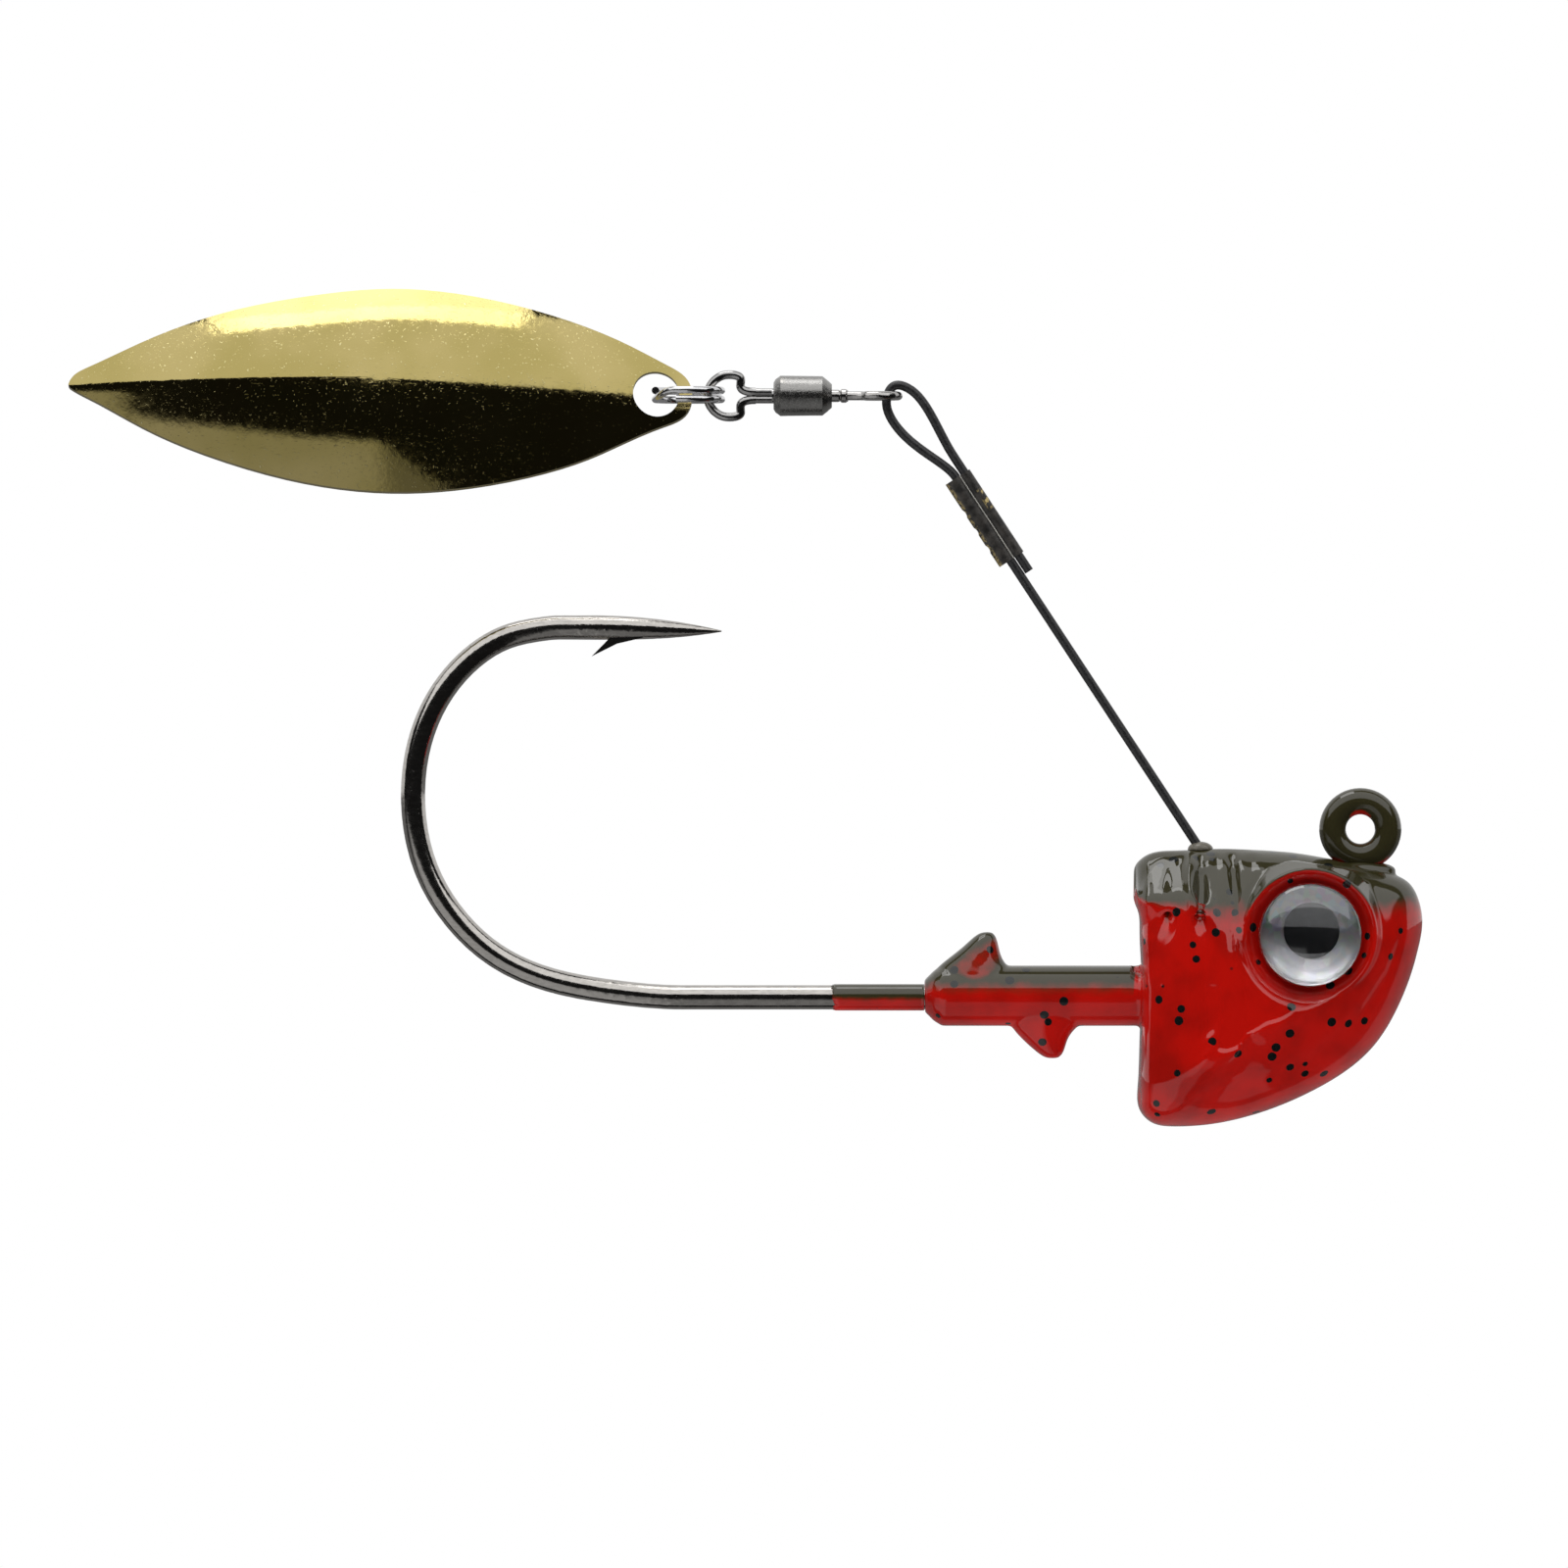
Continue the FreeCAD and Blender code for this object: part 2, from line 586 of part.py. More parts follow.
def main():
    os.makedirs("parts", exist_ok=True)
    head = single_solid(make_head())
    core, jacket = make_arm()
    nodes = {
        "hook": make_hook(),
        "head_casting": head,
        "line_tie_coat": make_tie_coat(),
        "shank_coat": make_shank_coat(),
        "arm_wire_core": core,
        "arm_wire_jacket": jacket,
        "arm_root_bead": make_root_bead(head, pipe(arm_edges(), JACKET_R)),
        "crimp_sleeve": make_sleeve(),
        "swivel_front_eye": make_front_eye(),
        "swivel_barrel": make_barrel(),
        "swivel_rear_eye": make_rear_eye(),
        "split_ring": make_split_ring(),
        "blade": make_blade(),
    }
    for name, shape in make_eye().items():
        nodes[name + "_left"] = shape
        nodes[name + "_right"] = mirrored(shape)
    for name, shape in nodes.items():
        volume = round(shape.Volume, 3)
        print(name, "solids", len(shape.Solids), "valid", shape.isValid(), "mm3", volume)
        single_solid(shape).exportStep("parts/" + name + ".step")


main()
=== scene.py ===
import math
import bpy
import numpy as np
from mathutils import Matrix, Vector


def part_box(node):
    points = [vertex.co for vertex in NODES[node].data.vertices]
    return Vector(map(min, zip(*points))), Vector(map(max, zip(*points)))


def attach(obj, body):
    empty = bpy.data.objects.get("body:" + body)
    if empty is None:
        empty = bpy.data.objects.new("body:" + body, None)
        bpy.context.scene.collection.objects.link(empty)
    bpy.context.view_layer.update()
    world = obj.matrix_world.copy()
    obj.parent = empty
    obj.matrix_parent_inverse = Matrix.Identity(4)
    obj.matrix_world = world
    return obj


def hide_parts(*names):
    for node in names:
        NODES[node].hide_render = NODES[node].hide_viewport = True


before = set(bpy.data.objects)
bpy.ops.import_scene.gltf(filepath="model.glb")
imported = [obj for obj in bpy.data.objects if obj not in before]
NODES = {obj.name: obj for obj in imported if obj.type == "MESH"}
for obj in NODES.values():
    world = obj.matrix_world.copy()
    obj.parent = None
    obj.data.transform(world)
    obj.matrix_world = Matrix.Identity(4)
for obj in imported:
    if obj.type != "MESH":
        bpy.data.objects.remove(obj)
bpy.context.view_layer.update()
MM = 0.001


# ---------------------------------------------------------------- node helpers

class Shader:
    """One material's node tree, with short calls for the nodes used here."""

    def __init__(self, name):
        self.material = bpy.data.materials.new(name)
        self.material.use_nodes = True
        self.tree = self.material.node_tree
        self.tree.nodes.clear()
        self.output = self.tree.nodes.new("ShaderNodeOutputMaterial")
        self.bsdf = self.tree.nodes.new("ShaderNodeBsdfPrincipled")
        self.join(self.bsdf.outputs["BSDF"], self.output.inputs["Surface"])
        self.place = self.tree.nodes.new("ShaderNodeTexCoord")

    def join(self, source, target):
        self.tree.links.new(source, target)

    def feed(self, node, socket, value):
        if hasattr(value, "links"):
            self.join(value, node.inputs[socket])
        else:
            node.inputs[socket].default_value = value

    def position(self):
        return self.place.outputs["Object"]

    def normal(self):
        return self.place.outputs["Normal"]

    def split(self, vector):
        node = self.tree.nodes.new("ShaderNodeSeparateXYZ")
        self.join(vector, node.inputs[0])
        return node.outputs["X"], node.outputs["Y"], node.outputs["Z"]

    def scaled(self, vector, factors):
        node = self.tree.nodes.new("ShaderNodeMapping")
        self.join(vector, node.inputs["Vector"])
        node.inputs["Scale"].default_value = factors
        return node.outputs["Vector"]

    def math(self, operation, a, b=0.0, clamp=False):
        node = self.tree.nodes.new("ShaderNodeMath")
        node.operation = operation
        node.use_clamp = clamp
        self.feed(node, 0, a)
        self.feed(node, 1, b)
        return node.outputs[0]

    def ramp(self, value, low, high, to_low=0.0, to_high=1.0, smooth=True):
        node = self.tree.nodes.new("ShaderNodeMapRange")
        node.interpolation_type = "SMOOTHSTEP" if smooth else "LINEAR"
        self.feed(node, "Value", value)
        node.inputs["From Min"].default_value = low
        node.inputs["From Max"].default_value = high
        node.inputs["To Min"].default_value = to_low
        node.inputs["To Max"].default_value = to_high
        return node.outputs["Result"]

    def noise(self, scale_mm, detail=2.0, vector=None, roughness=0.5):
        node = self.tree.nodes.new("ShaderNodeTexNoise")
        self.join(vector or self.position(), node.inputs["Vector"])
        node.inputs["Scale"].default_value = 1000.0 / scale_mm
        node.inputs["Detail"].default_value = detail
        node.inputs["Roughness"].default_value = roughness
        return node.outputs["Fac"]

    def cells(self, scale_mm, vector=None, output="Distance"):
        node = self.tree.nodes.new("ShaderNodeTexVoronoi")
        self.join(vector or self.position(), node.inputs["Vector"])
        node.inputs["Scale"].default_value = 1000.0 / scale_mm
        return node.outputs[output]

    def mix(self, factor, a, b):
        node = self.tree.nodes.new("ShaderNodeMix")
        node.data_type = "RGBA"
        self.feed(node, 0, factor)
        self.feed(node, 6, a)
        self.feed(node, 7, b)
        return node.outputs[2]

    def bump(self, height, depth_mm, strength=1.0, below=None):
        node = self.tree.nodes.new("ShaderNodeBump")
        node.inputs["Distance"].default_value = depth_mm * MM
        node.inputs["Strength"].default_value = strength
        self.join(height, node.inputs["Height"])
        if below is not None:
            self.join(below, node.inputs["Normal"])
        return node.outputs["Normal"]

    def set(self, **values):
        for key, value in values.items():
            self.feed(self.bsdf, key.replace("_", " "), value)
        return self


def rgb(r, g, b):
    return (r, g, b, 1.0)


def wear(node, *materials):
    """Give an object these materials in place of its own."""
    node.data.materials.clear()
    for material in materials:
        node.data.materials.append(material)
    for polygon in node.data.polygons:
        polygon.use_smooth = True


# ---------------------------------------------------------------- materials

RED = rgb(0.56, 0.0045, 0.0015)
DEEP_RED = rgb(0.36, 0.004, 0.0015)
OLIVE = rgb(0.034, 0.030, 0.011)
FLAKE = rgb(0.005, 0.007, 0.007)


def flakes(shader, spacing, size, share):
    """Mask of small black flakes buried in the paint."""
    distance = shader.cells(spacing)
    pick = shader.tree.nodes.new("ShaderNodeSeparateColor")
    shader.join(shader.cells(spacing, output="Color"), pick.inputs[0])
    kept = shader.math("LESS_THAN", pick.outputs[0], share)
    inside = shader.ramp(distance, size / spacing * 1.08, size / spacing * 0.92)
    return shader.math("MULTIPLY", kept, inside)


def lure_paint(name, olive_low, olive_high, on_head=False, flake_share=0.34):
    """Deep gloss red over lead, olive sprayed from above, black flakes, thick clear coat."""
    s = Shader(name)
    _, _, up = s.split(s.normal())
    x, _, z = s.split(s.position())
    spray = s.math("MULTIPLY", up, 0.8)
    if on_head:
        height = s.ramp(z, -6.9 * MM, -3.3 * MM, 0.0, 0.75, smooth=False)
        stem = s.ramp(x, -13.75 * MM, -13.95 * MM, 0.0, 0.50)
        spray = s.math("ADD", spray, s.math("MAXIMUM", height, stem))
    mottle = s.math("MULTIPLY", s.math("SUBTRACT", s.noise(0.9, 3.0), 0.5), 0.30)
    olive = s.ramp(s.math("ADD", spray, mottle), olive_low, olive_high)
    depth = s.ramp(s.noise(3.2, 3.0), 0.35, 0.7)
    base = s.mix(depth, RED, DEEP_RED)
    base = s.mix(olive, base, OLIVE)
    base = s.mix(flakes(s, 1.15, 0.285, flake_share), base, FLAKE)
    s.set(Base_Color=base, Roughness=0.42, Specular_IOR_Level=0.05, IOR=1.5)
    s.set(Coat_Weight=1.0, Coat_Roughness=0.025, Coat_IOR=1.62)
    peel = s.bump(s.noise(2.6, 1.0), 0.02, 0.30)
    fine = s.bump(s.noise(0.22, 2.0), 0.004, 0.35, below=peel)
    s.join(peel, s.bsdf.inputs["Coat Normal"])
    s.join(fine, s.bsdf.inputs["Normal"])
    return s.material


def dark_nickel(name, colour, rough, grain_mm, grain_depth, stretch=(1, 1, 1)):
    """Plated wire: dark bright metal, drawn grain, tiny pits and a few rubbed places."""
    s = Shader(name)
    along = s.scaled(s.position(), stretch)
    grain = s.noise(grain_mm, 3.0, vector=along, roughness=0.65)
    pits = s.ramp(s.cells(grain_mm * 1.7), 0.16, 0.05)
    worn = s.ramp(s.noise(1.3, 4.0, roughness=0.7), 0.58, 0.72)
    brighter = rgb(*(min(1.0, c * 1.25) for c in colour[:3]))
    tone = s.mix(s.ramp(grain, 0.3, 0.7), colour, brighter)
    tone = s.mix(s.math("MULTIPLY", worn, 0.35), tone, rgb(0.62, 0.58, 0.52))
    s.set(Base_Color=tone, Metallic=1.0)
    drawn = s.ramp(grain, 0.2, 0.8, rough * 0.7, rough * 1.4)
    s.join(s.math("ADD", drawn, s.math("MULTIPLY", pits, 0.15)), s.bsdf.inputs["Roughness"])
    scratch = s.bump(grain, grain_depth, 0.5)
    s.join(s.bump(pits, grain_depth, -0.4, below=scratch), s.bsdf.inputs["Normal"])
    return s.material


def gold_plate():
    """Polished gold with stamping texture, specks and hairline scratches."""
    s = Shader("gold_plate")
    specks = s.ramp(s.noise(0.16, 2.0, roughness=0.6), 0.64, 0.74)
    dimples = s.noise(0.42, 2.0, roughness=0.55)
    drift = s.noise(5.0, 2.0)
    tone = s.mix(s.ramp(drift, 0.3, 0.7), rgb(0.385, 0.316, 0.110), rgb(0.46, 0.377, 0.155))
    tone = s.mix(s.math("MULTIPLY", specks, 0.5), tone, rgb(0.85, 0.78, 0.45))
    s.set(Base_Color=tone, Metallic=1.0)
    s.join(s.ramp(dimples, 0.3, 0.7, 0.05, 0.12), s.bsdf.inputs["Roughness"])
    line = s.scaled(s.position(), (0.12, 1.0, 1.6))
    hair = s.ramp(s.noise(0.11, 3.0, vector=line, roughness=0.7), 0.66, 0.72)
    soft = s.bump(dimples, 0.010, 0.55)
    raised = s.bump(specks, 0.010, 0.5, below=soft)
    s.join(s.bump(hair, 0.006, 0.35, below=raised), s.bsdf.inputs["Normal"])
    return s.material


def black_jacket():
    s = Shader("wire_jacket")
    twist = s.noise(0.25, 3.0, roughness=0.6)
    dust = s.ramp(s.noise(0.10, 2.0), 0.66, 0.75)
    tone = s.mix(s.ramp(twist, 0.3, 0.7), rgb(0.012, 0.012, 0.013), rgb(0.028, 0.028, 0.030))
    tone = s.mix(s.math("MULTIPLY", dust, 0.5), tone, rgb(0.16, 0.16, 0.16))
    s.set(Base_Color=tone, Specular_IOR_Level=0.6)
    s.join(s.ramp(twist, 0.2, 0.8, 0.28, 0.42), s.bsdf.inputs["Roughness"])
    s.join(s.bump(twist, 0.012, 0.5), s.bsdf.inputs["Normal"])
    return s.material


# middle of the crimp sleeve, and its lean from upright
SLEEVE_BACK = 22.975
SLEEVE_HEIGHT = 19.05
LEAN_COS = 0.836
LEAN_SIN = 0.549


def worn_sleeve():
    """Blackened brass, rubbed to bare metal along the crimped edge and at a few spots, with a painted
    highlight strip along the seam groove.
    """
    s = Shader("sleeve_black")
    x, _, z = s.split(s.position())
    # place on the sleeve, from its middle: across is forward, along is up the arm
    ahead = s.math("ADD", x, SLEEVE_BACK * MM)
    above = s.math("SUBTRACT", z, SLEEVE_HEIGHT * MM)
    across = s.math("ADD", s.math("MULTIPLY", ahead, LEAN_COS), s.math("MULTIPLY", above, LEAN_SIN))
    along = s.math("SUBTRACT", s.math("MULTIPLY", above, LEAN_COS), s.math("MULTIPLY", ahead, LEAN_SIN))
    edge = s.ramp(across, -0.62 * MM, -0.88 * MM)
    flecks = s.ramp(s.noise(0.22, 3.0, roughness=0.7), 0.47, 0.56)
    band = s.math("MULTIPLY", s.ramp(along, 0.2 * MM, 0.5 * MM), s.ramp(along, 1.75 * MM, 1.45 * MM))
    front = s.math("MULTIPLY", band, s.ramp(across, 0.42 * MM, 0.52 * MM))
    spots = s.math("MULTIPLY", front, s.ramp(s.noise(0.42, 2.0), 0.47, 0.55))
    # painted highlight: a near-white, partly metallic strip in the groove between the barrels, standing
    # in for the light the groove catches
    seam_highlight_start = s.ramp(across, 0.085 * MM, 0.115 * MM)
    painted_seam_highlight = s.math("MULTIPLY", seam_highlight_start, s.ramp(across, 0.175 * MM, 0.145 * MM))
    bare = s.math("MAXIMUM", s.math("MULTIPLY", edge, flecks), spots)
    tone = s.mix(s.ramp(s.noise(0.5, 3.0), 0.3, 0.7), rgb(0.014, 0.013, 0.012), rgb(0.05, 0.045, 0.04))
    tone = s.mix(bare, tone, rgb(0.70, 0.55, 0.25))
    tone = s.mix(painted_seam_highlight, tone, rgb(0.85, 0.84, 0.80))
    s.set(Base_Color=tone)
    s.join(s.math("MAXIMUM", bare, s.math("MULTIPLY", painted_seam_highlight, 0.4)), s.bsdf.inputs["Metallic"])
    s.join(s.ramp(s.noise(0.3, 3.0), 0.3, 0.7, 0.30, 0.48), s.bsdf.inputs["Roughness"])
    s.join(s.bump(s.noise(0.28, 3.0, roughness=0.7), 0.03, 0.6), s.bsdf.inputs["Normal"])
    return s.material


def foil():
    """Silver holographic film with fine facets, and a painted highlight that brightens its lower half
    where the domed lens would focus light.
    """
    s = Shader("eye_foil")
    _, _, z = s.split(s.position())
    facets = s.cells(0.35, output="Color")
    # painted highlight: the base colour runs from dark grey at the top to white at the bottom, standing
    # in for light the dome focuses
    painted_lens_highlight = s.mix(s.ramp(z, -5.4 * MM, -8.4 * MM), rgb(0.17, 0.18, 0.18), rgb(1.0, 1.0, 1.0))
    facet_tint_and_highlight = s.mix(0.08, painted_lens_highlight, facets)
    s.set(Base_Color=facet_tint_and_highlight, Metallic=0.5, Roughness=0.32)
    s.join(s.bump(s.cells(0.35), 0.01, 0.35), s.bsdf.inputs["Normal"])
    return s.material


def resin():
    """Clear domed resin under a slightly uneven polish."""
    s = Shader("eye_resin")
    s.set(Base_Color=rgb(0.97, 0.98, 1.0), Roughness=0.015, IOR=1.42, Transmission_Weight=1.0)
    s.set(Coat_Weight=1.0, Coat_Roughness=0.01, Coat_IOR=1.55)
    s.join(s.bump(s.noise(1.4, 1.0), 0.01, 0.2), s.bsdf.inputs["Normal"])
    return s.material


def plain_film(name, colour, rough, grain_mm):
    s = Shader(name)
    speck = s.noise(grain_mm, 3.0)
    tone = s.mix(s.ramp(speck, 0.3, 0.7), colour, tuple(c * 1.6 for c in colour[:3]) + (1.0,))
    s.set(Base_Color=tone)
    s.join(s.ramp(speck, 0.2, 0.8, rough * 0.85, rough * 1.15), s.bsdf.inputs["Roughness"])
    s.join(s.bump(speck, 0.006, 0.4), s.bsdf.inputs["Normal"])
    return s.material


# ---------------------------------------------------------------- sculpted pieces

def copy_mesh(name, nodes):
    """One new object holding copies of these CAD nodes' meshes."""
    points = []
    faces = []
    for node in nodes:
        mesh = NODES[node].data
        base = len(points)
        points += [tuple(v.co) for v in mesh.vertices]
        faces += [tuple(base + i for i in p.vertices) for p in mesh.polygons]
    mesh = bpy.data.meshes.new(name)
    mesh.from_pydata(points, [], faces)
    piece = bpy.data.objects.new(name, mesh)
    bpy.context.scene.collection.objects.link(piece)
    return piece


def apply_modifiers(piece):
    bpy.context.view_layer.update()
    graph = bpy.context.evaluated_depsgraph_get()
    mesh = bpy.data.meshes.new_from_object(piece.evaluated_get(graph))
    piece.modifiers.clear()
    piece.data = mesh


def add_ball(points, faces, centre, radii, rings=14, sectors=24):
    base = len(points)
    for i in range(rings + 1):
        tilt = math.pi * i / rings
        for j in range(sectors):
            turn = 2 * math.pi * j / sectors
            points.append((
                centre[0] + radii[0] * math.sin(tilt) * math.cos(turn),
                centre[1] + radii[1] * math.sin(tilt) * math.sin(turn),
                centre[2] + radii[2] * math.cos(tilt),
            ))
    for i in range(rings):
        for j in range(sectors):
            k = (j + 1) % sectors
            faces.append((base + i * sectors + j, base + (i + 1) * sectors + j,
                          base + (i + 1) * sectors + k, base + i * sectors + k))


def smooth_step(value, low, high):
    t = np.clip((value - low) / (high - low), 0.0, 1.0)
    return t * t * (3 - 2 * t)


# each pleat's groove: x at the top edge, forward lean per mm down, half width, depth
GILL_PLEATS = (
    (-12.1, 0.03, 0.40, 0.07), (-10.9, 0.0, 0.40, 0.09), (-9.85, -0.03, 0.30, 0.22),
    (-8.9, -0.05, 0.30, 0.09), (-7.95, -0.09, 0.30, 0.24), (-6.9, -0.20, 0.45, 0.06),
)


def settle_gills(piece):
    """Melt the hard-edged gill cuts of the casting so that soft pleats can be pressed in."""
    mesh = piece.data
    group = piece.vertex_groups.new(name="gills")
    for vertex in mesh.vertices:
        x, y, z = vertex.co / MM
        far_from_eye = math.hypot(x + 3.17, z + 6.45) > 4.9
        if -13.0 < x < -6.6 and z > -9.6 and abs(y) > 0.5 and far_from_eye:
            group.add([vertex.index], 1.0, "REPLACE")
    melt = piece.modifiers.new("melt", "SMOOTH")
    melt.vertex_group = "gills"
    melt.factor = 0.7
    melt.iterations = 260
    apply_modifiers(piece)


def sculpt_head():
    """The painted casting: soft corners, paint pooled at the ring, gill pleats, jaw line, back lip."""
    piece = copy_mesh("painted_head", ["head_casting"])
    mesh = piece.data
    points = [tuple(v.co) for v in mesh.vertices]
    faces = [tuple(p.vertices) for p in mesh.polygons]
    pool = [((-0.1, 0.0, -2.45), (1.75, 1.15, 0.55)), ((1.0, 0.0, -2.55), (1.2, 0.9, 0.5))]
    for centre, radii in pool:
        add_ball(points, faces, [c * MM for c in centre], [r * MM for r in radii])
    mesh.clear_geometry()
    mesh.from_pydata(points, [], faces)
    remesh = piece.modifiers.new("skin", "REMESH")
    remesh.mode = "VOXEL"
    remesh.voxel_size = 0.11 * MM
    soften = piece.modifiers.new("soften", "SMOOTH")
    soften.factor = 0.5
    soften.iterations = 6
    apply_modifiers(piece)
    settle_gills(piece)
    mesh = piece.data
    co = np.empty(len(mesh.vertices) * 3)
    mesh.vertices.foreach_get("co", co)
    co = co.reshape(-1, 3) / MM
    nor = np.empty(len(mesh.vertices) * 3)
    mesh.vertex_normals.foreach_get("vector", nor)
    nor = nor.reshape(-1, 3)
    x, y, z = co[:, 0], co[:, 1], co[:, 2]
    # shoulders behind the eye: the flat cheek rolls over into the back
    top_x = np.array([-13.7, -12.9, -11.2, -9.0, -6.4, -4.0])
    top_z = np.array([-2.1, -1.5, -1.3, -1.2, -1.27, -1.45])
    high = np.interp(x, top_x, top_z) + 10.6
    boxy = 2.05 + 2.45 * np.clip((-x - 10.5) / 3.0, 0.0, 1.0)
    wide = 4.9 * np.power(1.0 - np.clip(np.abs(x + 5.2) / 8.55, 0.0, 0.999) ** boxy, 1.0 / boxy)
    across = np.abs(y) / np.maximum(wide, 0.5)
    upward = np.clip((z + 10.6) / high, 0.0, None)
    square = np.power(across ** boxy + upward ** boxy + 1e-9, 1.0 / boxy)
    rounded = np.power(across ** 1.9 + upward ** 1.9 + 1e-9, 1.0 / 1.9)
    shoulder = smooth_step(-x, 7.0, 10.0) * smooth_step(z, -10.6, -8.6) * (x > -13.95)
    shrink = 1.0 + (square / rounded - 1.0) * shoulder
    y *= shrink
    z[:] = (z + 10.6) * shrink - 10.6
    # gill ridges: soft pleats that fan out down the cheek from the top edge
    drop = np.clip(-1.2 - z, 0.0, 20.0)
    pleats = np.zeros_like(x)
    for root_x, lean, half, depth in GILL_PLEATS:
        line = root_x - lean * drop
        pleats -= depth * np.exp(-((x - line) / half) ** 2)
    pleats *= smooth_step(np.abs(y), 0.8, 1.8) * (x > -13.95)
    pleats *= (1.0 - 0.8 * smooth_step(drop, 2.5, 6.5)) * (1.0 - smooth_step(drop, 9.5, 13.0))
    # jaw line: a shallow valley running a little inside the lower edge
    jaw_x = np.array([-14.0, -10.0, -6.0, -3.0, 0.0, 1.5, 2.6])
    jaw_z = np.array([-16.4, -16.2, -15.2, -14.0, -11.4, -9.2, -6.5])
    jaw = np.interp(x, jaw_x, jaw_z)
    valley = np.exp(-((z - jaw) / 0.7) ** 2) * smooth_step(np.abs(y), 1.2, 2.2)
    valley *= smooth_step(2.9 - x, 0.0, 1.0)
    # raised lip round the back edge
    lip = np.exp(-((x + 13.1) / 0.33) ** 2)
    lip *= smooth_step(np.abs(y), 1.5, 2.5) * smooth_step(z, -17.5, -15.5)
    push = -0.12 * valley + 0.10 * lip + pleats
    co += nor * push[:, None]
    mesh.vertices.foreach_set("co", (co * MM).ravel())
    mesh.update()
    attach(piece, "head")
    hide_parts("head_casting")
    return piece


def ragged_shank_coat():
    """Paint film on the bare shank, ending in a torn edge."""
    low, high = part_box("shank_coat")
    radius = (high.z - low.z) / 2
    axis_z = (high.z + low.z) / 2
    rng = np.random.default_rng(7)
    sectors, rings = 96, 30
    torn = np.cumsum(rng.normal(0, 1, sectors))
    torn -= np.linspace(0, torn[-1], sectors)
    torn = torn / np.abs(torn).max() * 0.28 * MM + rng.uniform(-1, 1, sectors) * 0.10 * MM
    inner = radius - 0.06 * MM
    points, faces = [], []
    for layer_radius in (radius, inner):
        for i in range(rings + 1):
            share = i / rings
            for j in range(sectors):
                turn = 2 * math.pi * j / sectors
                start = low.x + 0.40 * MM + torn[j]
                x = start + (high.x - start) * share
                r = layer_radius
                if layer_radius == radius and i == 0:
                    r = inner + 0.012 * MM
                points.append((x, r * math.cos(turn), axis_z + r * math.sin(turn)))
    per = (rings + 1) * sectors
    for layer in (0, 1):
        for i in range(rings):
            for j in range(sectors):
                k = (j + 1) % sectors
                quad = [layer * per + i * sectors + j, layer * per + i * sectors + k,
                        layer * per + (i + 1) * sectors + k, layer * per + (i + 1) * sectors + j]
                faces.append(tuple(quad if layer else reversed(quad)))
    for i in (0, rings):
        for j in range(sectors):
            k = (j + 1) % sectors
            near, following = i * sectors + j, i * sectors + k
            faces.append((near, following, per + following, per + near))
    mesh = bpy.data.meshes.new("shank_paint_film")
    mesh.from_pydata(points, [], faces)
    piece = bpy.data.objects.new("shank_paint_film", mesh)
    bpy.context.scene.collection.objects.link(piece)
    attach(piece, "head")
    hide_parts("shank_coat")
    return piece


def eye_lens(side):
    """Clear domed resin over the foil and pupil, with a rounded rim."""
    low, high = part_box("eye_dome_" + side)
    middle = (low + high) / 2
    rim = (high.x - low.x) / 2
    outward = 1.0 if side == "left" else -1.0
    base = min(abs(low.y), abs(high.y)) + 0.085 * MM
    top = max(abs(low.y), abs(high.y))
    lip = base + 0.22 * MM
    profile = [(0.0, base), (rim - 0.03 * MM, base), (rim, base + 0.03 * MM), (rim, lip)]
    for step in range(1, 33):
        share = step / 32.0
        radius = rim * math.cos(share * math.pi / 2)
        profile.append((radius, lip + (top - lip) * math.sin(share * math.pi / 2) ** 1.15))
    sectors = 96
    points, faces = [], []
    for radius, depth in profile:
        for j in range(sectors):
            turn = 2 * math.pi * j / sectors
            x = middle.x + radius * math.cos(turn)
            points.append((x, outward * depth, middle.z + radius * math.sin(turn)))
    for i in range(len(profile) - 1):
        for j in range(sectors):
            k = (j + 1) % sectors
            quad = (i * sectors + j, (i + 1) * sectors + j, (i + 1) * sectors + k, i * sectors + k)
            faces.append(quad if outward > 0 else quad[::-1])
    name = "eye_lens_" + side
    mesh = bpy.data.meshes.new(name)
    mesh.from_pydata(points, [], faces)
    piece = bpy.data.objects.new(name, mesh)
    bpy.context.scene.collection.objects.link(piece)
    weld = piece.modifiers.new("weld", "WELD")
    weld.merge_threshold = 0.0001 * MM
    apply_modifiers(piece)
    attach(piece, "head")
    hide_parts("eye_dome_" + side)
    return piece


# ---------------------------------------------------------------- dressing

head = sculpt_head()
film = ragged_shank_coat()
wear(head, lure_paint("head_paint", 0.46, 0.92, on_head=True, flake_share=0.42))
wear(film, lure_paint("shank_paint", -0.30, 0.10))
wear(NODES["line_tie_coat"], lure_paint("tie_paint", -0.62, -0.45, flake_share=0.0))
wear(NODES["arm_root_bead"], plain_film("bead_paint", rgb(0.11, 0.10, 0.08), 0.25, 0.2))
wear(NODES["arm_wire_jacket"], black_jacket())
wear(NODES["crimp_sleeve"], worn_sleeve())
# node, material, colour, roughness, grain size in mm, grain depth in mm, grain stretch
NICKEL = (
    ("hook", "black_nickel", (0.45, 0.43, 0.405), 0.13, 0.22, 0.006, (0.35, 1, 1)),
    ("arm_wire_core", "steel_strand", (0.4, 0.4, 0.42), 0.3, 0.1, 0.01, (1, 1, 1)),
    ("swivel_front_eye", "front_eye_nickel", (0.42, 0.41, 0.40), 0.14, 0.15, 0.006, (1, 1, 1)),
    ("swivel_rear_eye", "rear_eye_nickel", (0.36, 0.355, 0.35), 0.14, 0.15, 0.006, (1, 1, 1)),
    ("swivel_barrel", "barrel_nickel", (0.30, 0.295, 0.285), 0.27, 0.12, 0.02, (0.6, 1, 1)),
    ("split_ring", "ring_nickel", (0.66, 0.66, 0.67), 0.10, 0.15, 0.004, (1, 1, 1)),
)
for node, name, colour, rough, grain, depth, stretch in NICKEL:
    wear(NODES[node], dark_nickel(name, rgb(*colour), rough, grain, depth, stretch))
wear(NODES["blade"], gold_plate())
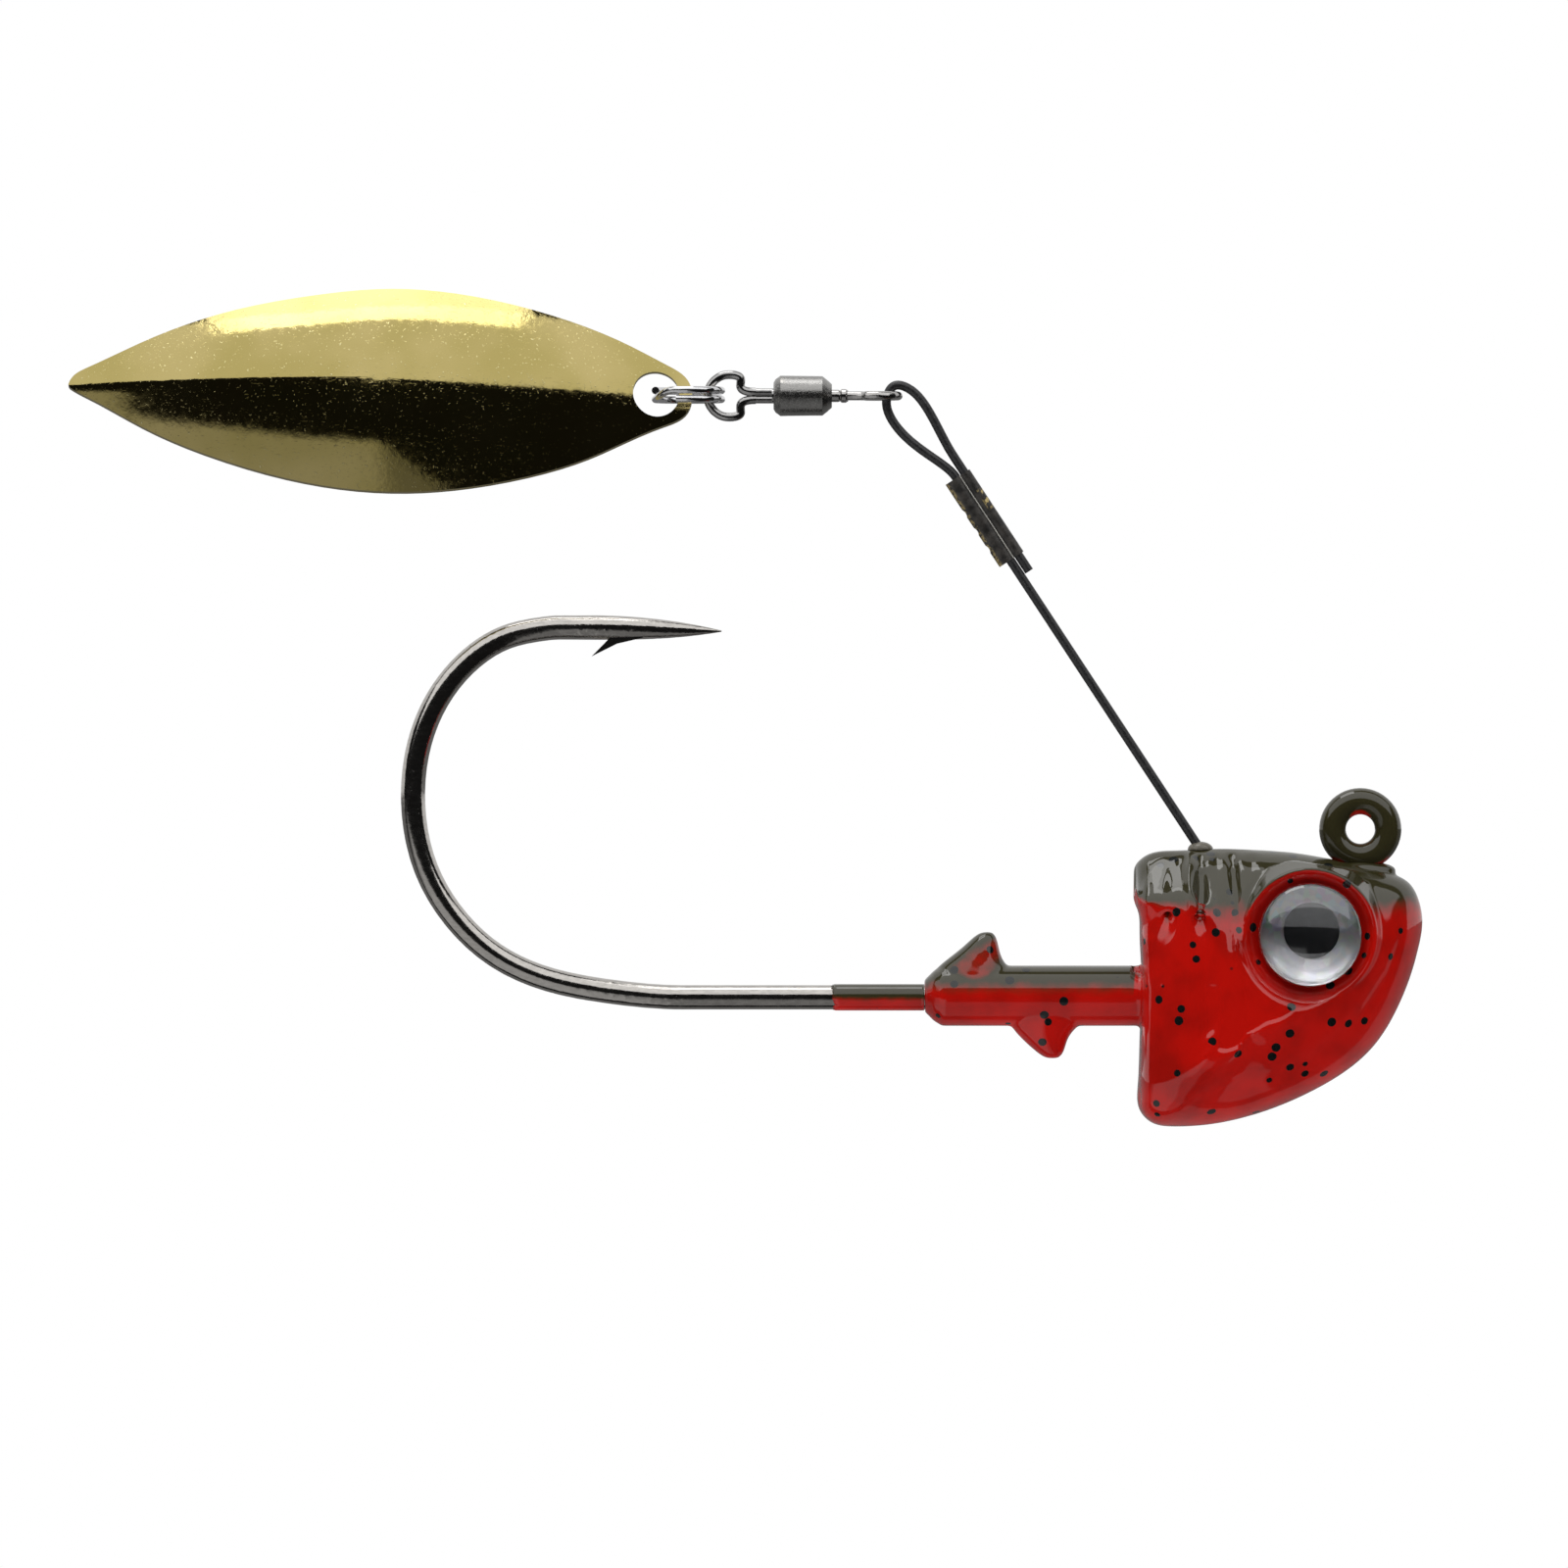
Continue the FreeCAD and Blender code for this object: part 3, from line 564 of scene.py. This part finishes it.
for side in ("left", "right"):
    pad, pupil = "eye_pad_" + side, "eye_pupil_" + side
    wear(NODES[pad], plain_film(pad, rgb(0.02, 0.02, 0.02), 0.6, 0.15))
    wear(NODES["eye_foil_" + side], foil())
    wear(NODES[pupil], plain_film(pupil, rgb(0.004, 0.004, 0.005), 0.35, 0.1))
    wear(eye_lens(side), resin())


# ---------------------------------------------------------------- studio

def make_world():
    """White backdrop, a softbox over the front, a dimmer one under it, dark room behind the camera."""
    world = bpy.data.worlds.new("studio")
    bpy.context.scene.world = world
    world.use_nodes = True
    tree = world.node_tree
    tree.nodes.clear()
    out = tree.nodes.new("ShaderNodeOutputWorld")
    seen = tree.nodes.new("ShaderNodeBackground")
    seen.inputs["Color"].default_value = (1, 1, 1, 1)
    lit = tree.nodes.new("ShaderNodeBackground")
    path = tree.nodes.new("ShaderNodeLightPath")
    pick = tree.nodes.new("ShaderNodeMixShader")
    tree.links.new(path.outputs["Is Camera Ray"], pick.inputs[0])
    tree.links.new(lit.outputs[0], pick.inputs[1])
    tree.links.new(seen.outputs[0], pick.inputs[2])
    tree.links.new(pick.outputs[0], out.inputs[0])
    coord = tree.nodes.new("ShaderNodeTexCoord")
    split = tree.nodes.new("ShaderNodeSeparateXYZ")
    tree.links.new(coord.outputs["Generated"], split.inputs[0])

    def calc(operation, a, b=0.0):
        node = tree.nodes.new("ShaderNodeMath")
        node.operation = operation
        for i, value in enumerate((a, b)):
            if hasattr(value, "links"):
                tree.links.new(value, node.inputs[i])
            else:
                node.inputs[i].default_value = value
        return node.outputs[0]

    def rising(value, start, stop):
        node = tree.nodes.new("ShaderNodeMapRange")
        node.interpolation_type = "SMOOTHSTEP"
        tree.links.new(value, node.inputs["Value"])
        node.inputs["From Min"].default_value = start
        node.inputs["From Max"].default_value = stop
        return node.outputs["Result"]

    def window(value, low, high, soft):
        opens = rising(value, low - soft, low + soft)
        return calc("MULTIPLY", opens, rising(value, high + soft, high - soft))

    # turn about X: 0 toward the camera side, 90 overhead, 180 to the backdrop, -90 below
    toward_camera = calc("MULTIPLY", split.outputs["Y"], -1.0)
    turn = calc("ARCTAN2", split.outputs["Z"], toward_camera)
    turn = calc("MULTIPLY", turn, 180 / math.pi)
    far = calc("ABSOLUTE", turn)
    side = split.outputs["X"]
    top = calc("MULTIPLY", window(turn, 29, 91, 0.8), window(side, -0.85, 0.80, 0.03))
    slanted = calc("MINIMUM", calc("ADD", -22.0, calc("MULTIPLY", side, -165.0)), -13.0)
    beneath = rising(calc("SUBTRACT", slanted, turn), -3.0, 3.0)
    low = calc("MULTIPLY", rising(turn, -87.0, -81.0), beneath)
    low = calc("MULTIPLY", low, window(side, -0.9, 0.75, 0.12))
    low = calc("MULTIPLY", low, calc("ADD", 0.8, calc("MULTIPLY", rising(side, -0.02, -0.10), 1.0)))
    above = window(turn, 106, 190, 2.0)
    below = calc("MULTIPLY", window(far, 106, 190, 2.0), 0.22)
    back = calc("MAXIMUM", above, below)
    fill = calc("ADD", 0.014, calc("MULTIPLY", top, 1.45))
    fill = calc("ADD", fill, calc("MULTIPLY", low, 0.32))
    fill = calc("ADD", fill, calc("MULTIPLY", back, 1.0))
    tree.links.new(fill, lit.inputs["Strength"])


def make_floor():
    size, z = 0.26, -0.062
    mesh = bpy.data.meshes.new("floor")
    turns = np.linspace(0, 2 * math.pi, 96, endpoint=False)
    ring = [(math.cos(a) * size - 0.035, math.sin(a) * size, z) for a in turns]
    mesh.from_pydata(ring, [], [tuple(range(96))])
    floor = bpy.data.objects.new("floor", mesh)
    bpy.context.scene.collection.objects.link(floor)
    s = Shader("floor_paper")
    tone = s.mix(s.ramp(s.noise(60.0, 2.0), 0.3, 0.7), rgb(0.88, 0.88, 0.88), rgb(0.92, 0.92, 0.92))
    s.set(Base_Color=tone, Roughness=0.9)
    floor.data.materials.append(s.material)
    floor.visible_glossy = False


def make_light(name, place, aim, size, power, mirrored=False):
    data = bpy.data.lights.new(name, "AREA")
    data.shape = "RECTANGLE"
    data.size, data.size_y = size
    data.energy = power
    lamp = bpy.data.objects.new(name, data)
    lamp.location = place
    lamp.rotation_euler = (Vector(aim) - Vector(place)).to_track_quat("-Z", "Y").to_euler()
    bpy.context.scene.collection.objects.link(lamp)
    lamp.visible_glossy = mirrored


def make_camera():
    frame_width = 0.096
    distance = 1.1
    centre = Vector((-0.03528, 0.0, 0.00276))
    data = bpy.data.cameras.new("camera")
    data.sensor_width = 36
    data.lens = 36 * distance / frame_width
    data.clip_start = 0.01
    camera = bpy.data.objects.new("camera", data)
    camera.location = centre - Vector((0, distance, 0))
    camera.rotation_euler = (math.radians(90), 0, 0)
    bpy.context.scene.collection.objects.link(camera)
    bpy.context.scene.camera = camera


make_world()
make_floor()
make_light("soft_key", (-0.10, -0.35, 0.55), (-0.03, 0, 0), (0.5, 0.4), 1.2)
make_light("strip", (-0.066, 0.012, 0.176), (-0.066, 0.012, 0), (0.084, 0.075), 0.056, True)
make_camera()
bpy.context.scene.view_settings.view_transform = "Standard"
